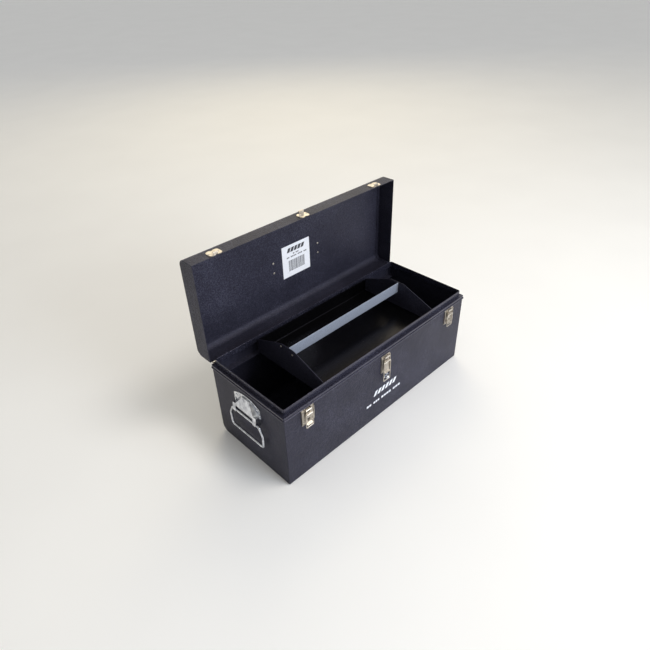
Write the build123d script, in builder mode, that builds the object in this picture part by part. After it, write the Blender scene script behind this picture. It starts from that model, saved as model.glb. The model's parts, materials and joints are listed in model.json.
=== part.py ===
"""Steel tool box with a hinged lid, three draw latches, three carrying handles and a lift-out tray.

X runs along the box, the front faces -Y, and Z is up. The origin is the middle of the base.
The lid is modelled open, standing on its hinge at a right angle to its closed place.
Lengths are millimetres.
"""

import os

from build123d import *

os.makedirs("parts", exist_ok=True)

# Sheet-metal body
LENGTH = 610.0
DEPTH = 240.0
LEDGE_Z = 199.0  # the ledge that the closed lid sits on
SHEET = 1.2
FRONT_BEND = 3.0
REAR_BEND = 18.0
SEAM_GAP = 0.1  # between an end panel and the sheet around it
FLANGE = 10.0  # the end panels' turned edges

# Rim that stiffens the mouth
LIP_INSET = 6.0
LIP_HEIGHT = 14.0
SKIRT_DROP = 9.5
BEAD_HEIGHT = 3.6
BEAD_PROUD = 1.6
RIM_CORNER = 3.0

# Lid
LID_TALL = 47.0  # rim to top panel
LID_BEND = 16.0
LID_SEAT = 0.4  # between the ledge and the closed lid

# Piano hinge
BARREL_R = 2.6
PIN_R = 1.2
RUNNING = 0.05
LEAF = 1.0
LEAF_WIDE = 24.0
KNUCKLES = 25
KNUCKLE_GAP = 0.4
HINGE_LENGTH = 600.0

# Lift-out tray
TRAY_LENGTH = 370.0
TRAY_DEPTH = 218.0
TRAY_Z = 172.0
TRAY_WALL = 34.0
TRAY_TOP_Z = 243.0
TRAY_SHEET = 1.0
RAIL_REACH = 16.0
RAIL_DROP = 12.0

# Latches
LATCH_X = 244.0
LATCH_WIRE = 1.2
HOOK_PLATE = 1.2
HOOK_ROOM = 0.3  # round the wire in a hook

# End handles
BAIL_WIRE = 3.0
BAIL_PIVOT_Z = 129.0
BAIL_STAND = 9.5  # pivot line, out from the end wall
BAIL_DROP = 55.0
PLATE_THICK = 1.5
HOOD_FOOT = 143.0
HOOD_TOP = 174.0

# Top handle
GRIP_X = 72.0
GRIP_WIRE = 3.5
GRIP_STAND = 7.0
GRIP_REACH = 38.0

FRONT_Y = -DEPTH / 2
REAR_Y = DEPTH / 2
SKIRT_Y = DEPTH / 2 + SHEET
HINGE_Y = SKIRT_Y + BARREL_R
HINGE_Z = LEDGE_Z + LID_SEAT / 2
LID_RIM_Y = HINGE_Y + LID_SEAT / 2
LID_BACK_Y = LID_RIM_Y + LID_TALL
LID_LOW_Z = HINGE_Z + BARREL_R
LID_HIGH_Z = HINGE_Z + HINGE_Y + SKIRT_Y
LID_LENGTH = LENGTH + 2 * SHEET
LID_WIDE = LID_HIGH_Z - LID_LOW_Z
LID_MID_Z = (LID_HIGH_Z + LID_LOW_Z) / 2


def save(piece, name):
    """Label a finished sub-part and write it as its own STEP file."""
    piece.part.label = name
    export_step(piece.part, f"parts/{name}.step")


def min_align():
    return (Align.CENTER, Align.CENTER, Align.MIN)


def soften_ends(wrap):
    """Round the outer edge at both ends of a bent sheet, where its seam is ground smooth."""
    box = wrap.part.bounding_box()
    for end in (wrap.faces().sort_by(Axis.X)[0], wrap.faces().sort_by(Axis.X)[-1]):
        outer = []
        for edge in end.edges():
            middle = edge.position_at(0.5)
            inward = Vector(0, (box.min.Y + box.max.Y) / 2, (box.min.Z + box.max.Z) / 2) - middle
            inward = Vector(0, inward.Y, inward.Z).normalized() * (SHEET / 2)
            on_outside = end.is_inside(middle + inward) and not end.is_inside(middle - inward)
            if on_outside and edge.length > 2 * SHEET:
                outer.append(edge)
        fillet(outer, SHEET * 0.7)


# ---------------------------------------------------------------- body


def body_wrap():
    """Front wall, floor and rear wall, bent from one sheet."""
    top = LEDGE_Z - SHEET - SEAM_GAP
    with BuildPart() as wrap:
        Box(LENGTH, DEPTH, top, align=min_align())
        low = wrap.faces().sort_by(Axis.Z)[0].edges().filter_by(Axis.X)
        fillet(low.sort_by(Axis.Y)[0], FRONT_BEND)
        low = wrap.faces().sort_by(Axis.Z)[0].edges().filter_by(Axis.X)
        fillet(low.sort_by(Axis.Y)[-1], REAR_BEND)
        ends = wrap.faces().filter_by(Axis.X)
        offset(amount=-SHEET, openings=ends + wrap.faces().sort_by(Axis.Z)[-1:])
        soften_ends(wrap)
    save(wrap, "body_wrap")


def body_end(side, name):
    """One end panel, a shallow pan whose turned edges lie inside the wrap."""
    inset = SHEET + SEAM_GAP
    top = LEDGE_Z - inset
    middle = side * (LENGTH - FLANGE) / 2
    with BuildPart() as end:
        with Locations((middle, 0, inset)):
            Box(FLANGE, DEPTH - 2 * inset, top - inset, align=min_align())
        low = end.faces().sort_by(Axis.Z)[0].edges().filter_by(Axis.X)
        fillet(low.sort_by(Axis.Y)[0], FRONT_BEND - inset)
        low = end.faces().sort_by(Axis.Z)[0].edges().filter_by(Axis.X)
        fillet(low.sort_by(Axis.Y)[-1], REAR_BEND - inset)
        inner = end.faces().sort_by(Axis.X)[0 if side > 0 else -1]
        offset(amount=-SHEET, openings=[inner, end.faces().sort_by(Axis.Z)[-1]])
    save(end, name)


def rim_frame():
    """Rolled rim: a beaded skirt outside the walls, the ledge, and the lip inside it."""
    outer = (LENGTH + 2 * SHEET, DEPTH + 2 * SHEET)
    lip_outer = (LENGTH - 2 * LIP_INSET, DEPTH - 2 * LIP_INSET)
    lip_inner = (lip_outer[0] - 2 * SHEET, lip_outer[1] - 2 * SHEET)
    beaded = (outer[0] + 2 * BEAD_PROUD, outer[1] + 2 * BEAD_PROUD)
    with BuildPart() as rim:
        with BuildSketch(Plane.XY.offset(LEDGE_Z - SKIRT_DROP)):
            RectangleRounded(*outer, RIM_CORNER)
            Rectangle(LENGTH, DEPTH, mode=Mode.SUBTRACT)
        extrude(amount=SKIRT_DROP)
        with BuildSketch(Plane.XY.offset(LEDGE_Z - SKIRT_DROP)):
            RectangleRounded(*beaded, RIM_CORNER + BEAD_PROUD)
            Rectangle(LENGTH, DEPTH, mode=Mode.SUBTRACT)
        extrude(amount=BEAD_HEIGHT)
        for level in (0, 1, 2):
            flat = rim.faces().filter_by(Axis.Z).group_by(Axis.Z)[level][0]
            fillet(flat.outer_wire().edges(), SHEET * 0.6 if level == 2 else BEAD_PROUD * 0.9)
        with BuildSketch(Plane.XY.offset(LEDGE_Z - SHEET)):
            RectangleRounded(LENGTH + SHEET, DEPTH + SHEET, RIM_CORNER - SHEET / 2)
            RectangleRounded(*lip_inner, RIM_CORNER, mode=Mode.SUBTRACT)
        extrude(amount=SHEET)
        with BuildSketch(Plane.XY.offset(LEDGE_Z)):
            RectangleRounded(*lip_outer, RIM_CORNER + SHEET)
            RectangleRounded(*lip_inner, RIM_CORNER, mode=Mode.SUBTRACT)
        extrude(amount=LIP_HEIGHT)
        fillet(rim.faces().sort_by(Axis.Z)[-1].edges(), SHEET * 0.45)
        with Locations((0, SKIRT_Y + BEAD_PROUD, LEDGE_Z - SKIRT_DROP)):
            Box(HINGE_LENGTH + 2, 2 * BEAD_PROUD, BEAD_HEIGHT, align=min_align(), mode=Mode.SUBTRACT)
    save(rim, "rim_frame")


def tray_rail(side, name):
    """An angle along one inner wall that the tray rests on."""
    wall = REAR_Y - SHEET
    leg_y = side * (wall - SHEET / 2)
    flat_y = side * (wall - RAIL_REACH / 2)
    long = LENGTH - 2 * (FLANGE + 1)
    with BuildPart() as rail:
        with Locations((0, leg_y, TRAY_Z - RAIL_DROP)):
            Box(long, SHEET, RAIL_DROP, align=min_align())
        with Locations((0, flat_y, TRAY_Z - SHEET)):
            Box(long, RAIL_REACH, SHEET, align=min_align())
    save(rail, name)


# ---------------------------------------------------------------- hinge


def knuckle_places(first):
    """Middles of every other knuckle along the barrel, starting at knuckle number first."""
    pitch = HINGE_LENGTH / KNUCKLES
    return [-HINGE_LENGTH / 2 + pitch * (k + 0.5) for k in range(first, KNUCKLES, 2)]


def hinge_leaf(first, leaf_middle, leaf_size, web_middle, web_size, bore_r, name):
    """A flat leaf with its own set of knuckles, joined to it by short webs."""
    long = HINGE_LENGTH / KNUCKLES - KNUCKLE_GAP
    with BuildPart() as leaf:
        with Locations(leaf_middle):
            Box(HINGE_LENGTH, *leaf_size)
        for x in knuckle_places(first):
            with Locations((x, HINGE_Y, HINGE_Z)):
                Cylinder(BARREL_R, long, rotation=(0, 90, 0))
            with Locations((x, web_middle[1], web_middle[2])):
                Box(long, *web_size)
        with Locations((0, HINGE_Y, HINGE_Z)):
            Cylinder(bore_r, HINGE_LENGTH + 2, rotation=(0, 90, 0), mode=Mode.SUBTRACT)
    save(leaf, name)


def hinge():
    """Piano hinge along the rear ledge: body leaf down the wall, lid leaf under the open lid."""
    clear = BARREL_R + 0.8
    flat = LEAF_WIDE - clear
    inner = BARREL_R - LEAF / 2
    hinge_leaf(
        0,
        (0, HINGE_Y - inner, HINGE_Z - clear - flat / 2),
        (LEAF, flat),
        (0, HINGE_Y - inner, HINGE_Z - clear / 2),
        (LEAF, clear),
        PIN_R,
        "hinge_body_leaf",
    )
    hinge_leaf(
        1,
        (0, HINGE_Y + clear + flat / 2, HINGE_Z + inner),
        (flat, LEAF),
        (0, HINGE_Y + clear / 2, HINGE_Z + inner),
        (clear, LEAF),
        PIN_R + RUNNING,
        "hinge_lid_leaf",
    )
    with BuildPart() as pin:
        with Locations((0, HINGE_Y, HINGE_Z)):
            Cylinder(PIN_R, HINGE_LENGTH + 1, rotation=(0, 90, 0))
    save(pin, "hinge_pin")


def lid_stops():
    """Two cranked lugs on the lid leaf that meet the body leaf when the lid is square open."""
    lug = 20.0
    thick = 1.2
    away = BARREL_R + 1.0
    drop = 8.0
    foot = 14.0
    leaf_under = BARREL_R - LEAF
    with BuildPart() as stops:
        for x in (-250, 250):
            with Locations((x, HINGE_Y + away + foot / 2, HINGE_Z + leaf_under - thick / 2)):
                Box(lug, foot, thick)
            with Locations((x, HINGE_Y + away + thick / 2, HINGE_Z + leaf_under - (drop + leaf_under) / 2)):
                Box(lug, thick, drop + leaf_under)
            reach = away + thick + leaf_under - RUNNING
            with Locations((x, HINGE_Y + away + thick - reach / 2, HINGE_Z - drop + thick / 2)):
                Box(lug, reach, thick)
    save(stops, "lid_stops")


# ---------------------------------------------------------------- lid, standing open


def lid_wrap():
    """Front wall, top panel and rear wall of the lid, bent from one sheet."""
    with BuildPart() as wrap:
        with Locations((0, LID_RIM_Y + LID_TALL / 2, LID_LOW_Z)):
            Box(LID_LENGTH, LID_TALL, LID_WIDE, align=min_align())
        fillet(wrap.faces().sort_by(Axis.Y)[-1].edges().filter_by(Axis.X), LID_BEND)
        ends = wrap.faces().filter_by(Axis.X)
        offset(amount=-SHEET, openings=ends + wrap.faces().sort_by(Axis.Y)[:1])
        soften_ends(wrap)
    save(wrap, "lid_wrap")


def lid_end(side, name):
    """One end of the lid, a shallow pan inside the wrap."""
    inset = SHEET + SEAM_GAP
    middle = side * (LID_LENGTH - FLANGE) / 2
    tall = LID_TALL - inset
    with BuildPart() as end:
        with Locations((middle, LID_RIM_Y + tall / 2, LID_LOW_Z + inset)):
            Box(FLANGE, tall, LID_WIDE - 2 * inset, align=min_align())
        fillet(end.faces().sort_by(Axis.Y)[-1].edges().filter_by(Axis.X), LID_BEND - inset)
        inner = end.faces().sort_by(Axis.X)[0 if side > 0 else -1]
        offset(amount=-SHEET, openings=[inner, end.faces().sort_by(Axis.Y)[0]])
    save(end, name)


def lid_label():
    """Paper label on the inside of the top panel."""
    wide, tall, thick = 88.0, 84.0, 0.2
    with BuildPart() as label:
        with Locations((0, LID_BACK_Y - SHEET - thick / 2, LID_MID_Z)):
            Box(wide, thick, tall)
    save(label, "lid_label")


# ---------------------------------------------------------------- latches


class Latch:
    """Sizes of one draw latch. Heights are above the floor with the lid shut."""

    def __init__(self, x, half, low, high, pivot_z, loop_z, hook_z, hook_out, finger_z, loop_half, slots):
        self.x = x
        self.half = half
        self.low = low
        self.high = high
        self.pivot_z = pivot_z
        self.loop_z = loop_z
        self.hook_z = hook_z
        self.hook_out = hook_out
        self.finger_z = finger_z
        self.loop_half = loop_half
        self.slots = slots


PIVOT_Y = FRONT_Y - 5.0
LEVER_Y = FRONT_Y - 4.0
LOOP_Y = FRONT_Y - 6.8

SIDE_LATCH = dict(
    half=17,
    low=LEDGE_Z - 54,
    high=LEDGE_Z - 10,
    pivot_z=LEDGE_Z - 14,
    loop_z=LEDGE_Z - 25,
    hook_z=LEDGE_Z + 9,
    hook_out=2.9,
    finger_z=LEDGE_Z - 50,
    loop_half=10,
    slots=[(LEDGE_Z - 22, LEDGE_Z - 17), (LEDGE_Z - 45, LEDGE_Z - 37)],
)
CENTRE_LATCH = dict(
    half=15,
    low=LEDGE_Z - 66,
    high=LEDGE_Z - 17,
    pivot_z=LEDGE_Z - 22,
    loop_z=LEDGE_Z - 34,
    hook_z=LEDGE_Z + 20,
    hook_out=7.0,
    finger_z=LEDGE_Z - 62,
    loop_half=11,
    slots=[(LEDGE_Z - 31, LEDGE_Z - 25)],
)
LATCHES = {
    "latch_left": Latch(-LATCH_X, **SIDE_LATCH),
    "latch_right": Latch(LATCH_X, **SIDE_LATCH),
    "latch_centre": Latch(0, **CENTRE_LATCH),
}
STUD_Z = LEDGE_Z - 79
SLOT_HALF = 4.0
KEEPER_TALL = 23.0


def cut_slots(latch, y):
    """Cut the latch's windows through whatever plate lies near that depth."""
    for low, high in latch.slots:
        with Locations((latch.x, y, (low + high) / 2)):
            Box(2 * SLOT_HALF, 2 * SHEET, high - low, mode=Mode.SUBTRACT)


def latch_base(latch, name):
    """Base plate with turned sides, and two ears that hold the lever's pin."""
    ear, ear_x, ear_r, turned = 1.2, 7.6, 2.6, 2.0
    with BuildPart() as base:
        with BuildSketch(Plane(origin=(latch.x, FRONT_Y, 0), x_dir=(1, 0, 0), z_dir=(0, -1, 0))):
            with Locations((0, (latch.low + latch.high) / 2)):
                RectangleRounded(2 * latch.half, latch.high - latch.low, 2.5)
        extrude(amount=SHEET)
        for side in (-1, 1):
            edge_x = latch.x + side * (latch.half - SHEET / 2)
            with Locations((edge_x, FRONT_Y - (SHEET + turned) / 2, (latch.low + latch.high) / 2)):
                Box(SHEET, SHEET + turned, latch.high - latch.low - 8)
            with BuildSketch(Plane.YZ.offset(latch.x + side * ear_x - ear / 2)):
                with Locations((PIVOT_Y, latch.pivot_z)):
                    Circle(ear_r)
                with Locations(((PIVOT_Y + FRONT_Y) / 2, latch.pivot_z)):
                    Rectangle(abs(PIVOT_Y - FRONT_Y), 2 * ear_r)
            extrude(amount=ear)
        with Locations((latch.x, PIVOT_Y, latch.pivot_z)):
            Cylinder(PIN_R, 2 * ear_x + 2, rotation=(0, 90, 0), mode=Mode.SUBTRACT)
        cut_slots(latch, FRONT_Y - SHEET / 2)
    save(base, name + "_base")


def latch_pin(latch, name):
    """Headed pin through the base's ears."""
    with BuildPart() as pin:
        with Locations((latch.x, PIVOT_Y, latch.pivot_z)):
            Cylinder(PIN_R, 17.0, rotation=(0, 90, 0))
    save(pin, name + "_pin")


def latch_lever(latch, name):
    """Lever: pivot knuckle, neck, pressed plate, a knuckle for the loop, and a finger end."""
    neck = 6.5
    blade = latch.loop_half - 2.4
    knuckle = 2.4
    loop_knuckle = 2.0
    with BuildPart() as lever:
        with Locations((latch.x, PIVOT_Y, latch.pivot_z)):
            Cylinder(knuckle, 2 * neck, rotation=(0, 90, 0))
        with BuildSketch(Plane(origin=(latch.x, LEVER_Y + SHEET / 2, 0), x_dir=(1, 0, 0), z_dir=(0, -1, 0))):
            with BuildLine():
                Polyline(
                    (-neck, latch.pivot_z),
                    (-neck, latch.loop_z + 3),
                    (-blade, latch.loop_z + 3),
                    (-blade, latch.finger_z),
                    (blade, latch.finger_z),
                    (blade, latch.loop_z + 3),
                    (neck, latch.loop_z + 3),
                    (neck, latch.pivot_z),
                    close=True,
                )
            make_face()
        extrude(amount=SHEET)
        with Locations((latch.x, LOOP_Y, latch.loop_z)):
            Cylinder(loop_knuckle, 2 * blade, rotation=(0, 90, 0))
        web = abs(LOOP_Y - LEVER_Y)
        with Locations((latch.x, (LOOP_Y + LEVER_Y) / 2, latch.loop_z)):
            Box(2 * blade, web, 2 * loop_knuckle - 0.4)
        with BuildSketch(Plane.YZ.offset(latch.x - blade)):
            with BuildLine():
                Polyline(
                    (LEVER_Y + SHEET / 2, latch.finger_z + 3),
                    (LEVER_Y + SHEET / 2, latch.finger_z),
                    (LEVER_Y - 5, latch.finger_z - 2.5),
                    (LEVER_Y - 5.4, latch.finger_z - 1.4),
                    (LEVER_Y - SHEET / 2, latch.finger_z + 1),
                    (LEVER_Y - SHEET / 2, latch.finger_z + 3),
                    close=True,
                )
            make_face()
        extrude(amount=2 * blade)
        with Locations((latch.x, PIVOT_Y, latch.pivot_z)):
            Cylinder(PIN_R + RUNNING, 4 * neck, rotation=(0, 90, 0), mode=Mode.SUBTRACT)
        with Locations((latch.x, LOOP_Y, latch.loop_z)):
            Cylinder(LATCH_WIRE + RUNNING, 4 * neck, rotation=(0, 90, 0), mode=Mode.SUBTRACT)
        cut_slots(latch, LEVER_Y)
    save(lever, name + "_lever")


def latch_loop(latch, name):
    """Closed wire loop that hangs from the lever and swings up over the lid's hook."""
    bar_y = -SKIRT_Y - latch.hook_out
    long = ((latch.hook_z - latch.loop_z) ** 2 + (bar_y - LOOP_Y) ** 2) ** 0.5
    plane = Plane(origin=(latch.x, LOOP_Y, latch.loop_z), x_dir=(1, 0, 0), z_dir=(0, -1, 0))
    with BuildPart() as loop:
        with BuildLine(plane) as path:
            Polyline(
                (0, 0),
                (latch.loop_half, 0),
                (latch.loop_half, -long),
                (-latch.loop_half, -long),
                (-latch.loop_half, 0),
                (0, 0),
            )
            fillet(path.vertices().filter_by(lambda v: abs(v.X - latch.x) > 1), 2.0)
        with BuildSketch(Plane(origin=(latch.x, LOOP_Y, latch.loop_z), z_dir=(1, 0, 0))):
            Circle(LATCH_WIRE)
        sweep(path=path.wires()[0])
    save(loop, name + "_loop")


def padlock_stud():
    """Domed stud and a half-ring ear on one small plate, inside the centre loop."""
    ear_x, ear_r, ear_wire = 7.0, 5.0, 0.9
    wall = Plane(origin=(0, FRONT_Y, STUD_Z), x_dir=(1, 0, 0), z_dir=(0, -1, 0))
    with BuildPart() as stud:
        with BuildSketch(wall):
            with Locations((1.5, 0)):
                RectangleRounded(14, 15, 3)
        extrude(amount=SHEET)
        with Locations(wall):
            Cylinder(3.0, 6.0, align=min_align())
        with Locations((0, FRONT_Y - 8.0, STUD_Z)):
            Sphere(4.9)
        with Locations((ear_x, FRONT_Y, STUD_Z)):
            Torus(ear_r, ear_wire, rotation=(0, 90, 0))
        with Locations((0, FRONT_Y, STUD_Z)):
            Box(40, 20, 40, align=(Align.CENTER, Align.MIN, Align.CENTER), mode=Mode.SUBTRACT)
    save(stud, "padlock_stud")


def open_y(shut_z):
    """Where a height on the shut lid's front wall lies with the lid open."""
    return HINGE_Y + shut_z - HINGE_Z


def keeper_span(latch):
    """Near and far edges of a keeper plate on the open lid, and the hook's web between them."""
    near = LID_RIM_Y + 1.5
    web = open_y(latch.hook_z) - LATCH_WIRE - HOOK_ROOM
    return near, web, near + KEEPER_TALL


def keeper(latch, name):
    """Hook plate on the lid's front wall; the hook opens away from the rim."""
    near, web, far = keeper_span(latch)
    half = latch.half - 1.5
    hook_half = latch.loop_half - 4.0
    lip = latch.hook_out + LATCH_WIRE + HOOK_ROOM
    with BuildPart() as plate:
        with BuildSketch(Plane.XY.offset(LID_HIGH_Z)):
            with Locations((latch.x, (near + far) / 2)):
                RectangleRounded(2 * half, far - near, 7.0)
            for notch in (near - 1.5, far + 1.5):
                with Locations((latch.x, notch)):
                    Circle(4.0, mode=Mode.SUBTRACT)
        extrude(amount=HOOK_PLATE)
        with BuildSketch(Plane.YZ.offset(latch.x - hook_half)):
            with BuildLine():
                Polyline(
                    (web - SHEET, LID_HIGH_Z),
                    (web - SHEET, LID_HIGH_Z + lip + SHEET),
                    (web + 3.4, LID_HIGH_Z + lip + SHEET),
                    (web + 3.4, LID_HIGH_Z + lip),
                    (web, LID_HIGH_Z + lip),
                    (web, LID_HIGH_Z),
                    close=True,
                )
            make_face()
        extrude(amount=2 * hook_half)
        fillet(plate.edges().filter_by(Axis.X).group_by(Axis.Z)[-1].sort_by(Axis.Y)[0], SHEET * 0.9)
    save(plate, name)


def rivets(places, normal, radius, height, name):
    """Domed rivet heads, one separate solid each."""
    with BuildPart() as heads:
        with Locations(*[Plane(origin=place, z_dir=normal) for place in places]):
            Cylinder(radius, height, align=min_align())
        tops = heads.faces().filter_by(lambda f: f.normal_at().dot(Vector(*normal)) > 0.9)
        fillet(tops.edges(), height * 0.9)
    save(heads, name)


def latch_rivets():
    """Two heads on each latch base, beside the lever."""
    places = []
    for latch in LATCHES.values():
        for side in (-1, 1):
            places.append((latch.x + side * (latch.half - 3.9), FRONT_Y - SHEET, latch.low + 8))
    rivets(places, (0, -1, 0), 1.9, 0.9, "latch_rivets")


def keeper_rivets():
    """Two heads on each keeper plate."""
    places = []
    for latch in LATCHES.values():
        near, _, far = keeper_span(latch)
        for side in (-1, 1):
            places.append((latch.x + side * (latch.half - 4.0), (near + far) / 2, LID_HIGH_Z + HOOK_PLATE))
    rivets(places, (0, 0, 1), 2.0, 0.9, "keeper_rivets")


# ---------------------------------------------------------------- end handles


def handle_plane(side):
    """Plane on an end wall: local x runs along Y, local y is up, local z points outwards."""
    return Plane(origin=(side * LENGTH / 2, 0, 0), x_dir=(0, side, 0), z_dir=(side, 0, 0))


def hood_sections(side, sheet):
    """Level sections of the plate's hood, a wedge that slopes out from the crown to an open foot.

    With a sheet thickness they are the hood's hollow, and with none its outside.
    """
    wall_x = side * (LENGTH / 2 + PLATE_THICK - 0.5)
    slant = 5.0
    lip = HOOD_FOOT + 6
    sections = []
    for z, half, out in ((HOOD_FOOT, 36, 10.5), (lip, 36, 10.5), (HOOD_TOP - 1.2 * sheet, 16, 3.0)):
        wide = half - sheet
        face_x = wall_x + side * (out - sheet)
        with BuildSketch(Plane.XY.offset(z)) as section:
            with BuildLine():
                Polyline(
                    (wall_x, -wide),
                    (face_x, slant - wide),
                    (face_x, wide - slant),
                    (wall_x, wide),
                    close=True,
                )
            make_face()
        sections.append(section.sketch.faces()[0])
    return sections


def end_handle_plate(side, name):
    """Arched plate with a pressed hood; its two lugs end in eyes that hold the bail."""
    half, crown, shoulder, waist = 44.0, 181.0, 169.0, 146.0
    ear_y, ear_long, ear_top = 34.5, 10.0, 149.0
    eye_r = BAIL_WIRE + 1.5
    ear_out = ear_y + ear_long / 2
    pivot_x = side * (LENGTH / 2 + BAIL_STAND)
    wall = handle_plane(side)
    with BuildPart() as plate:
        with BuildSketch(wall):
            with BuildLine():
                ThreePointArc((half, shoulder), (0, crown), (-half, shoulder))
                Polyline(
                    (-half, shoulder),
                    (-half, waist),
                    (-ear_out, HOOD_FOOT),
                    (ear_out, HOOD_FOOT),
                    (half, waist),
                    (half, shoulder),
                )
            make_face()
        extrude(amount=PLATE_THICK)
        loft(hood_sections(side, 0), ruled=True)
        loft(hood_sections(side, SHEET), ruled=True, mode=Mode.SUBTRACT)
        with BuildSketch(wall):
            with Locations((0, (HOOD_FOOT + HOOD_TOP) / 2)):
                Rectangle(2 * ear_y, HOOD_TOP - HOOD_FOOT)
        extrude(amount=PLATE_THICK)
        for place in (-ear_y, ear_y):
            with Locations((pivot_x, place, BAIL_PIVOT_Z)):
                Cylinder(eye_r, ear_long, rotation=(90, 0, 0))
            with BuildSketch(Plane.XZ.offset(-place - ear_long / 2)):
                with BuildLine():
                    Polyline(
                        (side * LENGTH / 2, BAIL_PIVOT_Z - eye_r),
                        (pivot_x, BAIL_PIVOT_Z - eye_r),
                        (pivot_x + side * eye_r, BAIL_PIVOT_Z),
                        (pivot_x + side * 1.5, ear_top),
                        (side * LENGTH / 2, ear_top),
                        close=True,
                    )
                make_face()
            extrude(amount=ear_long)
        with Locations((pivot_x, 0, BAIL_PIVOT_Z)):
            Cylinder(BAIL_WIRE + RUNNING, 2 * half + 20, rotation=(90, 0, 0), mode=Mode.SUBTRACT)
    save(plate, name)


def end_handle_bail(side, name):
    """Closed wire bail: top bar through the eyes, flared arms and a straight grip."""
    x = side * (LENGTH / 2 + BAIL_STAND)
    plane = Plane(origin=(x, 0, BAIL_PIVOT_Z), x_dir=(0, 1, 0), z_dir=(1, 0, 0))
    top, shoulder, shoulder_drop, bottom = 45.0, 56.0, 22.0, 53.5
    with BuildPart() as bail:
        with BuildLine(plane) as path:
            Polyline(
                (0, 0),
                (top, 0),
                (shoulder, -shoulder_drop),
                (bottom, -BAIL_DROP),
                (-bottom, -BAIL_DROP),
                (-shoulder, -shoulder_drop),
                (-top, 0),
                (0, 0),
            )
            fillet(path.vertices().filter_by(lambda v: abs(v.Y) > shoulder - 0.5), 16.0)
            fillet(path.vertices().group_by(Axis.Z)[0], 7.0)
            fillet(path.vertices().filter_by(lambda v: abs(v.Y - top) < 0.01 or abs(v.Y + top) < 0.01), 6.0)
        with BuildSketch(Plane(origin=(x, 0, BAIL_PIVOT_Z), z_dir=(0, 1, 0))):
            Circle(BAIL_WIRE)
        sweep(path=path.wires()[0])
    save(bail, name)


def end_handle_rivets():
    """Four heads on each end plate."""
    for side, hand in ((-1, "left"), (1, "right")):
        x = side * (LENGTH / 2 + PLATE_THICK)
        places = [(x, flip * y, z) for flip in (-1, 1) for y, z in ((40, 152), (35, 166))]
        rivets(places, (side, 0, 0), 3.0, 1.6, f"end_handle_rivets_{hand}")


# ---------------------------------------------------------------- top handle


def top_handle_bracket(side, name):
    """Strap over one end of the handle rod, with a foot on each side of the arch."""
    thick, half, foot_half = 1.5, 9.0, 19.0
    inner = GRIP_WIRE + 0.1
    with BuildPart() as strap:
        with BuildSketch(Plane.YZ.offset(side * GRIP_X - half)):
            with Locations((LID_BACK_Y + thick / 2, LID_MID_Z)):
                Rectangle(thick, 2 * foot_half)
            with Locations((LID_BACK_Y + GRIP_STAND / 2, LID_MID_Z)):
                Rectangle(GRIP_STAND, 2 * (inner + thick))
            with Locations((LID_BACK_Y + GRIP_STAND, LID_MID_Z)):
                Circle(inner + thick)
                Circle(inner, mode=Mode.SUBTRACT)
            with Locations((LID_BACK_Y + GRIP_STAND / 2 - 1, LID_MID_Z)):
                Rectangle(GRIP_STAND + 2, 2 * inner, mode=Mode.SUBTRACT)
        extrude(amount=2 * half)
        fillet(strap.edges().filter_by(Axis.Y).group_by(Axis.Z)[0], 4.0)
        fillet(strap.edges().filter_by(Axis.Y).group_by(Axis.Z)[-1], 4.0)
    save(strap, name)


def top_handle_rivets():
    """Heads on the inside of the top panel, two for each strap."""
    y = LID_BACK_Y - SHEET
    places = [(x, y, LID_MID_Z + z) for x in (-GRIP_X, GRIP_X) for z in (-13, 13)]
    rivets(places, (0, -1, 0), 2.6, 1.2, "top_handle_rivets")


def top_handle():
    """Rod handle that hangs towards the hinge from both straps, with a sleeve on its grip."""
    y = LID_BACK_Y + GRIP_STAND
    tip, arm = GRIP_X + 11, GRIP_X - 17
    with BuildPart() as rod:
        with BuildLine(Plane(origin=(0, y, LID_MID_Z), x_dir=(1, 0, 0), z_dir=(0, -1, 0))) as path:
            Polyline((-tip, 0), (-arm, 0), (-arm, -GRIP_REACH), (arm, -GRIP_REACH), (arm, 0), (tip, 0))
            fillet(path.vertices().filter_by(lambda v: abs(v.X) < tip - 1), 7.5)
        with BuildSketch(Plane(origin=(-tip, y, LID_MID_Z), z_dir=(1, 0, 0))):
            Circle(GRIP_WIRE)
        sweep(path=path.wires()[0])
    save(rod, "top_handle_rod")
    with BuildPart() as sleeve:
        with Locations((0, y, LID_MID_Z - GRIP_REACH)):
            Cylinder(GRIP_STAND - 0.5, 2 * (arm - 9), rotation=(0, 90, 0))
            Cylinder(GRIP_WIRE, 2 * arm, rotation=(0, 90, 0), mode=Mode.SUBTRACT)
        fillet(sleeve.edges().filter_by(GeomType.CIRCLE).group_by(SortBy.RADIUS)[-1], 1.5)
    save(sleeve, "top_handle_grip")


# ---------------------------------------------------------------- tray


def tray_trough():
    """Tray floor with its front and rear walls, hemmed along the top."""
    with BuildPart() as trough:
        with Locations((0, 0, TRAY_Z)):
            Box(TRAY_LENGTH, TRAY_DEPTH, TRAY_WALL, align=min_align())
        fillet(trough.faces().sort_by(Axis.Z)[0].edges().filter_by(Axis.X), 3.0)
        ends = trough.faces().filter_by(Axis.X)
        offset(amount=-TRAY_SHEET, openings=ends + trough.faces().sort_by(Axis.Z)[-1:])
        for side in (-1, 1):
            with Locations((0, side * (TRAY_DEPTH / 2 - 1.5 * TRAY_SHEET), TRAY_Z + TRAY_WALL - 6)):
                Box(TRAY_LENGTH, TRAY_SHEET, 6, align=min_align())
    save(trough, "tray_trough")


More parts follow.
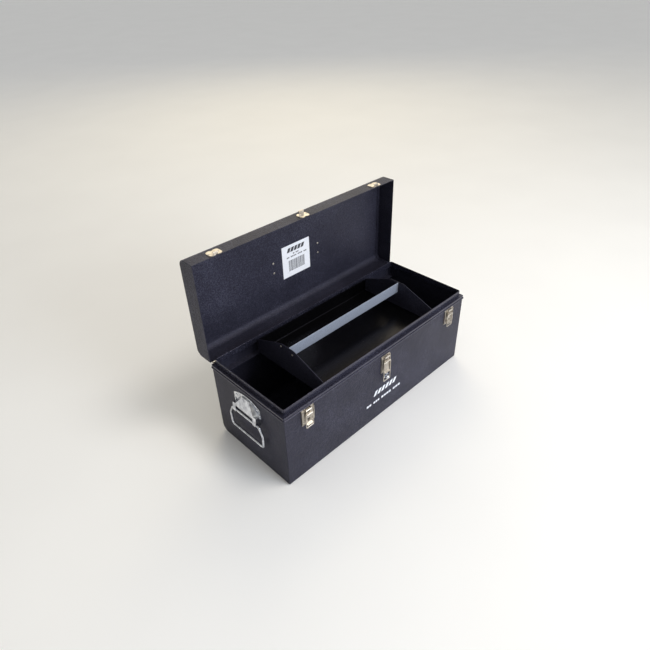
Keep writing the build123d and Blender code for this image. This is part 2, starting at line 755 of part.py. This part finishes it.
def tray_end(side, name):
    """Tent-shaped end plate that carries the handle bar."""
    half = TRAY_DEPTH / 2
    foot_z = TRAY_Z + TRAY_WALL + 3
    start = TRAY_LENGTH / 2 if side > 0 else -TRAY_LENGTH / 2 - SHEET
    with BuildPart() as end:
        with BuildSketch(Plane.YZ.offset(start)):
            with BuildLine():
                Polyline(
                    (-half, TRAY_Z),
                    (half, TRAY_Z),
                    (half, foot_z),
                    (20, TRAY_TOP_Z),
                    (-20, TRAY_TOP_Z),
                    (-half, foot_z),
                    close=True,
                )
            make_face()
        extrude(amount=SHEET)
        fillet(end.edges().filter_by(Axis.X).group_by(Axis.Z)[0], 3.0)
        fillet(end.edges().filter_by(Axis.X).group_by(Axis.Z)[-1], 10.0)
    save(end, name)


BAR_Y = -3.0
BAR_LOW = 215.0
BAR_HIGH = 242.0
BAR_THICK = 1.6
LUG_LOW, LUG_HIGH = 222.0, 240.0
LUG_FRONT, LUG_BACK = -24.0, 28.0


def tray_handle_bar():
    """Flat bar between the end plates, with both long edges rounded over."""
    with BuildPart() as strip:
        with Locations((0, BAR_Y, (BAR_LOW + BAR_HIGH) / 2)):
            Box(TRAY_LENGTH - 2 * BAR_THICK, BAR_THICK, BAR_HIGH - BAR_LOW)
        fillet(strip.edges().filter_by(Axis.X), BAR_THICK * 0.4)
    save(strip, "tray_handle_bar")


def tray_lug(side, name):
    """Lug that ties one end of the bar to its end plate."""
    with BuildPart() as lug:
        with BuildSketch(Plane.YZ.offset(side * TRAY_LENGTH / 2 - max(side, 0) * BAR_THICK)):
            with Locations(((LUG_FRONT + LUG_BACK) / 2, (LUG_LOW + LUG_HIGH) / 2)):
                RectangleRounded(LUG_BACK - LUG_FRONT, LUG_HIGH - LUG_LOW, 4)
            with Locations((BAR_Y, (BAR_LOW + LUG_HIGH) / 2)):
                Rectangle(8, LUG_HIGH - BAR_LOW)
        extrude(amount=BAR_THICK)
    save(lug, name)


def tray_rivets():
    """Two heads outside each end plate, through the lugs."""
    for side, hand in ((-1, "left"), (1, "right")):
        x = side * (TRAY_LENGTH / 2 + SHEET)
        places = [(x, LUG_FRONT + 9, LUG_LOW + 8), (x, LUG_BACK - 7, LUG_HIGH - 5)]
        rivets(places, (side, 0, 0), 2.4, 1.1, f"tray_rivets_{hand}")


# ---------------------------------------------------------------- build every sub-part

body_wrap()
rim_frame()
hinge()
lid_stops()
lid_wrap()
lid_label()
padlock_stud()
latch_rivets()
keeper_rivets()
end_handle_rivets()
top_handle()
top_handle_rivets()
tray_trough()
tray_handle_bar()
tray_rivets()
for side, hand in ((-1, "left"), (1, "right")):
    body_end(side, f"body_end_{hand}")
    lid_end(side, f"lid_end_{hand}")
    end_handle_plate(side, f"end_handle_plate_{hand}")
    end_handle_bail(side, f"end_handle_bail_{hand}")
    top_handle_bracket(side, f"top_handle_bracket_{hand}")
    tray_end(side, f"tray_end_{hand}")
    tray_lug(side, f"tray_lug_{hand}")
tray_rail(-1, "tray_rail_front")
tray_rail(1, "tray_rail_rear")
for name, latch in LATCHES.items():
    latch_base(latch, name)
    latch_pin(latch, name)
    latch_lever(latch, name)
    latch_loop(latch, name)
    keeper(latch, name.replace("latch", "keeper"))
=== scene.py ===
"""Look of the steel tool box: materials, printed marks, small pressed details, floor, light and camera."""

import json
import math

import bmesh
import bpy
from mathutils import Matrix, Vector

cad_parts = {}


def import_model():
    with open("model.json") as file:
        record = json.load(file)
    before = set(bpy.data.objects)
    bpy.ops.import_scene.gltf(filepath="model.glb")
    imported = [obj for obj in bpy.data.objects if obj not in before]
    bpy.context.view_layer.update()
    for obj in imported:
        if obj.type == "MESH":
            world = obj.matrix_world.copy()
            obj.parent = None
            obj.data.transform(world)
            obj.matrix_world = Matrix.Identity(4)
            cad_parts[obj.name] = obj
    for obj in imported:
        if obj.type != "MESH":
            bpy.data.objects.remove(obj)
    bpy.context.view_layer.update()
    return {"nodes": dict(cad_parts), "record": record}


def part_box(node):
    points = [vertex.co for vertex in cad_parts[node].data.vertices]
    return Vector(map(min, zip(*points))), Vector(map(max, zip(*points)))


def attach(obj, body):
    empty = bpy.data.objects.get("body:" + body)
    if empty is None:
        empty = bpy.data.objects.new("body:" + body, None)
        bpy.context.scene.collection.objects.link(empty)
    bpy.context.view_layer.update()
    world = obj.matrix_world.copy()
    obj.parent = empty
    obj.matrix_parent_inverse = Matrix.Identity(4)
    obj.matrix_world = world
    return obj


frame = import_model()
NODES = frame["nodes"]
SLOT_OF = {row["node"]: row["material_slot"] for row in frame["record"]["subparts"]}
MM = 0.001
RIGHT, UP = (1, 0, 0), (0, 0, 1)


# ---------------------------------------------------------------- materials


class Shader:
    """A node material under construction."""

    def __init__(self, name):
        self.material = bpy.data.materials.new(name)
        self.material.use_nodes = True
        self.tree = self.material.node_tree
        self.surface = self.tree.nodes["Principled BSDF"]
        self.place = self.add("ShaderNodeTexCoord").outputs["Object"]

    def add(self, kind, **settings):
        node = self.tree.nodes.new(kind)
        for key, value in settings.items():
            setattr(node, key, value)
        return node

    def link(self, start, end):
        self.tree.links.new(start, end)

    def set(self, **values):
        for key, value in values.items():
            self.surface.inputs[key.replace("_", " ")].default_value = value

    def noise(self, scale, detail=2.0, roughness=0.5, stretch=None):
        """Noise in object space, with scale in cycles per metre."""
        node = self.add("ShaderNodeTexNoise")
        node.inputs["Scale"].default_value = scale
        node.inputs["Detail"].default_value = detail
        node.inputs["Roughness"].default_value = roughness
        self.link(self.stretched(stretch), node.inputs["Vector"])
        return node.outputs["Fac"]

    def stretched(self, stretch):
        if not stretch:
            return self.place
        node = self.add("ShaderNodeMapping")
        node.inputs["Scale"].default_value = stretch
        self.link(self.place, node.inputs["Vector"])
        return node.outputs["Vector"]

    def math(self, operation, first, second):
        """Math node whose two inputs are numbers or sockets."""
        node = self.add("ShaderNodeMath", operation=operation)
        for socket, value in zip(node.inputs, (first, second)):
            if isinstance(value, (int, float)):
                socket.default_value = value
            else:
                self.link(value, socket)
        return node.outputs["Value"]

    def ramp(self, fac, *stops):
        """Colour ramp whose stops are (position, colour)."""
        node = self.add("ShaderNodeValToRGB")
        elements = node.color_ramp.elements
        while len(elements) < len(stops):
            elements.new(0.5)
        for element, (position, color) in zip(elements, stops):
            element.position = position
            element.color = (*color, 1.0)
        self.link(fac, node.inputs["Fac"])
        return node.outputs["Color"]

    def range(self, fac, low, high):
        node = self.add("ShaderNodeMapRange")
        node.inputs["To Min"].default_value = low
        node.inputs["To Max"].default_value = high
        self.link(fac, node.inputs["Value"])
        return node.outputs["Result"]

    def color(self, socket):
        self.link(socket, self.surface.inputs["Base Color"])

    def rough(self, socket):
        self.link(socket, self.surface.inputs["Roughness"])

    def bump(self, height, distance, strength):
        node = self.add("ShaderNodeBump")
        node.inputs["Distance"].default_value = distance
        node.inputs["Strength"].default_value = strength
        self.link(height, node.inputs["Height"])
        self.link(node.outputs["Normal"], self.surface.inputs["Normal"])


COAT_TINT = (0.8, 0.77, 0.98, 1.0)


def wrinkle_coat(name, tones, sheen, roughness, relief):
    """Dark powder coat: wrinkles of one to four millimetres, faint cloudiness, and a cool soft sheen."""
    s = Shader(name)
    cloud_share, fine_share = 0.3, 0.4
    clouds = s.noise(scale=9.0, detail=3.0)
    grain = s.noise(scale=420.0, detail=3.0, roughness=0.6)
    tone = s.math("ADD", s.math("MULTIPLY", clouds, cloud_share), s.math("MULTIPLY", grain, 1 - cloud_share))
    dark, middle, pale = tones
    s.color(s.ramp(tone, (0.34, dark), (0.52, middle), (0.68, pale)))
    s.rough(s.range(s.noise(scale=40.0), *roughness))
    s.set(Specular_IOR_Level=sheen, Specular_Tint=COAT_TINT)
    fine = s.noise(scale=800.0)
    wide = s.noise(scale=280.0, roughness=0.6)
    wrinkles = s.math("ADD", s.math("MULTIPLY", fine, fine_share), wide)
    s.bump(wrinkles, relief, strength=0.9)
    return s.material


def plated(name, base, dark, roughness):
    """Plated metal with mottled blotches and fine drawn scratches; on the chrome the dark blotches are
    painted reflection.
    """
    s = Shader(name)
    s.set(Metallic=1.0)
    # Mottle on the nickel; on the chrome the same dark patches are painted reflection.
    mottle_and_reflection = s.noise(scale=90.0, detail=3.0)
    s.color(s.ramp(mottle_and_reflection, (0.3, dark), (0.65, base)))
    s.rough(s.range(s.noise(scale=160.0, detail=3.0), *roughness))
    scratches = s.noise(scale=260.0, stretch=(1.0, 1.0, 9.0))
    s.bump(scratches, 0.03 * MM, strength=0.6)
    return s.material


def bar_coat(dark, pale):
    """Satin grey-blue metallic coat with a fine sparkle."""
    s = Shader("bar_coat")
    s.set(Metallic=0.35, Specular_IOR_Level=0.5)
    sparkle = s.noise(scale=1100.0, detail=1.0)
    s.color(s.ramp(sparkle, (0.35, dark), (0.65, pale)))
    s.rough(s.range(s.noise(scale=60.0), 0.42, 0.55))
    s.bump(s.noise(scale=700.0), 0.05 * MM, strength=0.6)
    return s.material


def paper(dark, pale):
    """Off-white paper with a faint fibre grain."""
    s = Shader("label_paper")
    s.color(s.ramp(s.noise(scale=420.0, detail=3.0), (0.3, dark), (0.7, pale)))
    s.set(Roughness=0.55)
    s.bump(s.noise(scale=1500.0), 0.01 * MM, strength=0.5)
    return s.material


def ink(name, dark, pale):
    """Printed ink whose cover is slightly uneven."""
    s = Shader(name)
    s.color(s.ramp(s.noise(scale=700.0), (0.3, dark), (0.6, pale)))
    s.set(Roughness=0.5)
    s.bump(s.noise(scale=900.0), 0.02 * MM, strength=0.6)
    return s.material


def rubber(dark, pale):
    """Black moulded sleeve with fine rings along its length."""
    s = Shader("grip_rubber")
    s.color(s.ramp(s.noise(scale=300.0), (0.3, dark), (0.7, pale)))
    s.set(Roughness=0.62)
    rings = s.add("ShaderNodeTexWave", wave_type="BANDS", bands_direction="X")
    rings.inputs["Scale"].default_value = 90.0
    s.link(s.place, rings.inputs["Vector"])
    s.bump(rings.outputs["Fac"], 0.3 * MM, strength=0.7)
    return s.material


def floor_paint(dark, pale):
    """Matt studio floor with very faint patches."""
    s = Shader("floor_paint")
    s.color(s.ramp(s.noise(scale=3.0), (0.3, dark), (0.7, pale)))
    s.set(Roughness=0.8)
    return s.material


# Dark, middle and pale tones of each powder coat; the tray's tones are a far darker copy, painted shade for
# the shaded trough.
COAT_TONES = (0.01, 0.01, 0.017), (0.021, 0.021, 0.034), (0.062, 0.063, 0.094)
TRAY_SHADED_TONES = (0.001, 0.001, 0.001), (0.002, 0.002, 0.0025), (0.006, 0.006, 0.007)

# Base and blotch colours of each plating; the chrome's dark blotch colour is painted reflection of dark
# surroundings.
NICKEL_TONES = (0.66, 0.61, 0.54), (0.42, 0.38, 0.33)
CHROME_AND_REFLECTION_TONES = (0.76, 0.78, 0.82), (0.34, 0.35, 0.39)

COAT = wrinkle_coat("wrinkle_coat", COAT_TONES, sheen=0.28, roughness=(0.4, 0.5), relief=1.2 * MM)
RIM_COAT = wrinkle_coat("rim_coat", COAT_TONES, sheen=0.6, roughness=(0.18, 0.28), relief=0.3 * MM)
# The tray trough's coat is the box's coat made near black: painted shade standing in for the shade inside
# the tray.
TRAY_SHADED_COAT = wrinkle_coat("smooth_coat_painted_shade", TRAY_SHADED_TONES, sheen=0.18, roughness=(0.2, 0.3), relief=0.1 * MM)
NICKEL = plated("nickel_plate", *NICKEL_TONES, roughness=(0.32, 0.48))
# The chrome's dark blotches are painted reflection of dark surroundings.
CHROME = plated("chrome_plate", *CHROME_AND_REFLECTION_TONES, roughness=(0.06, 0.16))
SLOT_FINISH = {
    "coat": COAT,
    "plated_steel": NICKEL,
    "chrome": CHROME,
    "tray_bar": bar_coat(dark=(0.25, 0.28, 0.35), pale=(0.4, 0.44, 0.54)),
    "label": paper(dark=(0.76, 0.77, 0.83), pale=(0.84, 0.85, 0.9)),
    "grip": rubber(dark=(0.012, 0.012, 0.013), pale=(0.03, 0.03, 0.031)),
}
OWN_FINISH = {"tray_trough": TRAY_SHADED_COAT, "rim_frame": RIM_COAT, "padlock_stud": CHROME}
INK_WHITE = ink("ink_white", dark=(0.66, 0.68, 0.74), pale=(0.82, 0.84, 0.9))
INK_DARK = ink("ink_dark", dark=(0.02, 0.02, 0.025), pale=(0.05, 0.05, 0.06))
INK_GREY = ink("ink_grey", dark=(0.1, 0.105, 0.12), pale=(0.17, 0.175, 0.19))

for name, node in NODES.items():
    node.data.materials.clear()
    node.data.materials.append(OWN_FINISH.get(name, SLOT_FINISH[SLOT_OF[name]]))


# ---------------------------------------------------------------- mesh helpers


def finish_mesh(bm, name, material, body, bevel=None):
    """Turn a bmesh into a named piece with its material and body."""
    bmesh.ops.recalc_face_normals(bm, faces=bm.faces)
    mesh = bpy.data.meshes.new(name)
    bm.to_mesh(mesh)
    bm.free()
    piece = bpy.data.objects.new(name, mesh)
    bpy.context.scene.collection.objects.link(piece)
    mesh.materials.append(material)
    if bevel:
        modifier = piece.modifiers.new("edge", "BEVEL")
        modifier.width = bevel
        modifier.segments = 2
        modifier.limit_method = "ANGLE"
    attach(piece, body)
    return piece


def plate(bm, outline, place, thick):
    """Add a flat plate: outline points in metres, put in place by a matrix, thickened along local z."""
    low = [bm.verts.new(place @ Vector((x, y, 0))) for x, y in outline]
    high = [bm.verts.new(place @ Vector((x, y, thick))) for x, y in outline]
    bm.faces.new(low[::-1])
    bm.faces.new(high)
    count = len(outline)
    for i in range(count):
        j = (i + 1) % count
        bm.faces.new((low[i], low[j], high[j], high[i]))


def turned(bm, outline, tip, place, segments=20):
    """Add a form turned about local z, closed below: a ring for each (radius, height), then a tip height."""
    turn = [math.tau * k / segments for k in range(segments)]
    rings = []
    for radius, height in outline:
        points = [Vector((radius * math.cos(a), radius * math.sin(a), height)) for a in turn]
        rings.append([bm.verts.new(place @ point) for point in points])
    top = bm.verts.new(place @ Vector((0, 0, tip)))
    for lower, upper in zip(rings, rings[1:]):
        for k in range(segments):
            n = (k + 1) % segments
            bm.faces.new((lower[k], lower[n], upper[n], upper[k]))
    for k in range(segments):
        bm.faces.new((rings[-1][k], rings[-1][(k + 1) % segments], top))
    bm.faces.new(rings[0])


def smooth(piece):
    for polygon in piece.data.polygons:
        polygon.use_smooth = True


def facing(origin, right, up):
    """Matrix whose local x, y and z run along right, up and their normal."""
    right, up = Vector(right), Vector(up)
    out = right.cross(up)
    matrix = Matrix((right, up, out)).transposed().to_4x4()
    matrix.translation = Vector(origin)
    return matrix


# ---------------------------------------------------------------- printed marks

# Stripes, dashes and bars are laid out in millimetres across and up from the origin of their place.


def slanted(x, y, wide, tall, lean):
    """Outline of a parallelogram from its lower left corner, given in millimetres and returned in metres."""
    corners = (x, y), (x + wide, y), (x + wide + lean, y + tall), (x + lean, y + tall)
    return [(across * MM, up * MM) for across, up in corners]


def upright(x, y, wide, tall):
    return slanted(x, y, wide, tall, lean=0)


def stripes(bm, place, thick, count, start, base, pitch, wide, tall, lean):
    """Badge of slanted stripes."""
    for k in range(count):
        plate(bm, slanted(start + pitch * k, base, wide, tall, lean), place, thick)


def dashes(bm, place, thick, start, base, tall, groups):
    """Row of dashes that stands in for words: each group is (count, width)."""
    x = start
    gap, word_gap = 0.3 * tall, tall
    for count, wide in groups:
        for _ in range(count):
            plate(bm, upright(x, base, wide, tall), place, thick)
            x += wide + gap
        x += word_gap


def bar_block(bm, place, thick, count, start, base, tall, widths, gaps):
    """Block of upright bars that repeats a few widths and gaps."""
    x = start
    for k in range(count):
        wide = widths[k % len(widths)]
        plate(bm, upright(x, base, wide, tall), place, thick)
        x += wide + gaps[k % len(gaps)]


def front_print():
    """Plain striped badge and a row of dashes on the front wall, placed from the middle of its foot."""
    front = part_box("body_wrap")[0].y
    place = facing((0, front, 0), RIGHT, UP)
    ink_thick = 0.08 * MM
    bm = bmesh.new()
    stripes(bm, place, ink_thick, count=6, start=-37, base=75, pitch=13.5, wide=8.5, tall=14, lean=7)
    words = (2, 6.8), (3, 5.6), (4, 7.2), (3, 7.6)
    dashes(bm, place, ink_thick, start=-60, base=52.5, tall=6.2, groups=words)
    finish_mesh(bm, "front_print", INK_WHITE, "body")


def label_print():
    """Striped badge, two rows of dashes and a block of bars, placed from the middle of the paper label."""
    low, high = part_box("lid_label")
    place = facing(((low.x + high.x) / 2, low.y, (low.z + high.z) / 2), RIGHT, UP)
    ink_thick = 0.05 * MM
    bm = bmesh.new()
    stripes(bm, place, ink_thick, count=5, start=-29, base=23, pitch=11, wide=8.5, tall=11, lean=5)
    finish_mesh(bm, "label_badge", INK_DARK, "lid")
    bm = bmesh.new()
    short_row = (1, 5.0), (2, 4.0)
    long_row = (2, 3.5), (4, 3.6), (3, 4.2), (2, 4.0)
    dashes(bm, place, ink_thick, start=-10, base=15, tall=3.2, groups=short_row)
    dashes(bm, place, ink_thick, start=-30, base=8, tall=3.6, groups=long_row)
    widths, gaps = (1.2, 2.2, 1.2, 3.0, 1.6), (1.0, 1.5, 0.9, 1.1)
    bar_block(bm, place, ink_thick, count=18, start=-25, base=-28, tall=29, widths=widths, gaps=gaps)
    finish_mesh(bm, "label_lines", INK_GREY, "lid")


front_print()
label_print()


# ---------------------------------------------------------------- small pressed and riveted details

# Profile of a low domed head as fractions of its radius and height. It starts just under its surface.
DOME = (1, -0.2), (1, 0.15), (0.86, 0.55), (0.6, 0.83), (0.3, 0.96)


def heads(name, places, right, up, radius, height, material, body):
    """Several domed heads that face along right x up."""
    outline = [(radius * wide, height * tall) for wide, tall in DOME]
    bm = bmesh.new()
    for place in places:
        turned(bm, outline, height, facing(place, right, up))
    smooth(finish_mesh(bm, name, material, body))


def hinge_heads(count=9):
    """Rivet heads along the hinge's body leaf, facing back."""
    low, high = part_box("hinge_body_leaf")
    from_end, from_edge, sunk = 25 * MM, 8 * MM, 1 * MM
    reach = high.x - from_end
    shares = [2 * k / (count - 1) - 1 for k in range(count)]
    places = [(reach * share, low.y + sunk, low.z + from_edge) for share in shares]
    left = (-1, 0, 0)
    heads("hinge_heads", places, left, UP, 2.6 * MM, 1.3 * MM, NICKEL, "body")


def lid_dimples():
    """Two weld dimples on the inside of the top panel, level with the label."""
    low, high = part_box("lid_label")
    from_middle = 185 * MM
    places = [(x, high.y, (low.z + high.z) / 2) for x in (-from_middle, from_middle)]
    heads("lid_dimples", places, RIGHT, UP, 3.2 * MM, 0.9 * MM, COAT, "lid")


def lever_ribs():
    """Two pressed ribs down each latch lever, over the middle of its length."""
    wide, proud, bevel = 1.5 * MM, 0.9 * MM, 0.3 * MM
    from_middle, behind_pin = 5.6 * MM, 0.5 * MM
    start_share, tall_share = 0.32, 0.3
    for hand in ("left", "right", "centre"):
        low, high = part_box(f"latch_{hand}_lever")
        pin_low, pin_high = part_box(f"latch_{hand}_pin")
        face_y = (pin_low.y + pin_high.y) / 2 + behind_pin
        middle, long = (low.x + high.x) / 2, high.z - low.z
        start, tall = low.z + start_share * long, tall_share * long
        outline = [(-wide / 2, 0), (wide / 2, 0), (wide / 2, tall), (-wide / 2, tall)]
        bm = bmesh.new()
        for side in (-1, 1):
            place = facing((middle + side * from_middle, face_y, start), RIGHT, UP)
            plate(bm, outline, place, proud)
        finish_mesh(bm, f"lever_ribs_{hand}", NICKEL, f"lever_{hand}", bevel)


hinge_heads()
lid_dimples()
lever_ribs()


# ---------------------------------------------------------------- floor, light and camera


def floor():
    """Pale floor, large enough to fill every view, just under the box."""
    half, below = 30.0, 0.2 * MM
    bm = bmesh.new()
    bmesh.ops.create_grid(bm, x_segments=8, y_segments=8, size=half)
    mesh = bpy.data.meshes.new("floor")
    bm.to_mesh(mesh)
    bm.free()
    obj = bpy.data.objects.new("floor", mesh)
    bpy.context.scene.collection.objects.link(obj)
    mesh.materials.append(floor_paint(dark=(0.92, 0.92, 0.925), pale=(0.94, 0.94, 0.945)))
    obj.location.z = -below


def area_light(name, place, target, size, power, color):
    """Round lamp aimed at a target, with its size in metres and its power in watts."""
    light = bpy.data.lights.new(name, "AREA")
    light.shape = "DISK"
    light.size = size
    light.energy = power
    light.color = color
    obj = bpy.data.objects.new(name, light)
    bpy.context.scene.collection.objects.link(obj)
    obj.location = place
    obj.rotation_euler = (Vector(target) - Vector(place)).to_track_quat("-Z", "Y").to_euler()


def world():
    """Pale room: bright round the horizon, dimmer overhead and towards -X."""
    horizon, overhead = (0.93, 0.96, 1.0, 1.0), (0.42, 0.41, 0.38, 1.0)
    horizon_end, overhead_start = 0.1, 0.75
    dim_way, strength = (-0.45, 0.0, 1.0), 0.95
    sky = bpy.data.worlds.new("sky")
    bpy.context.scene.world = sky
    sky.use_nodes = True
    tree = sky.node_tree
    background = tree.nodes["Background"]
    background.inputs["Strength"].default_value = strength
    slope = tree.nodes.new("ShaderNodeVectorMath")
    slope.operation = "DOT_PRODUCT"
    slope.inputs[1].default_value = dim_way
    ramp = tree.nodes.new("ShaderNodeValToRGB")
    tree.links.new(tree.nodes.new("ShaderNodeTexCoord").outputs["Generated"], slope.inputs[0])
    tree.links.new(slope.outputs["Value"], ramp.inputs["Fac"])
    tree.links.new(ramp.outputs["Color"], background.inputs["Color"])
    low, high = ramp.color_ramp.elements
    low.position, low.color = horizon_end, horizon
    high.position, high.color = overhead_start, overhead
    bpy.context.scene.view_settings.view_transform = "Standard"


def camera():
    """Camera above the front left corner, looking down at the open box as in the photo."""
    place = Vector((-0.756, -0.7218, 0.9531))
    right = Vector((0.71198, -0.70165, -0.02766))
    forward = Vector((0.55958, 0.59073, -0.5813))
    up = right.cross(forward).normalized()
    turn = Matrix((right, up, -forward)).transposed()
    data = bpy.data.cameras.new("camera")
    data.lens = 29.94
    data.sensor_width = 36.0
    data.clip_start = 0.01
    obj = bpy.data.objects.new("camera", data)
    bpy.context.scene.collection.objects.link(obj)
    obj.matrix_world = Matrix.Translation(place) @ turn.to_4x4()
    bpy.context.scene.camera = obj


COOL_WHITE, WARM_WHITE, SOFT_WHITE = (0.86, 0.92, 1.0), (1.0, 0.84, 0.52), (1.0, 0.94, 0.86)

floor()
world()
area_light("window", (0.6, -3.0, 1.3), target=(0, 0, 0.2), size=1.8, power=62.0, color=COOL_WHITE)
area_light("ceiling", (2.0, 2.4, 2.6), target=(0, 0.1, 0.3), size=2.4, power=30.0, color=WARM_WHITE)
area_light("overhead", (0.5, -0.9, 2.4), target=(0, 0.1, 0.2), size=0.8, power=18.0, color=SOFT_WHITE)
camera()
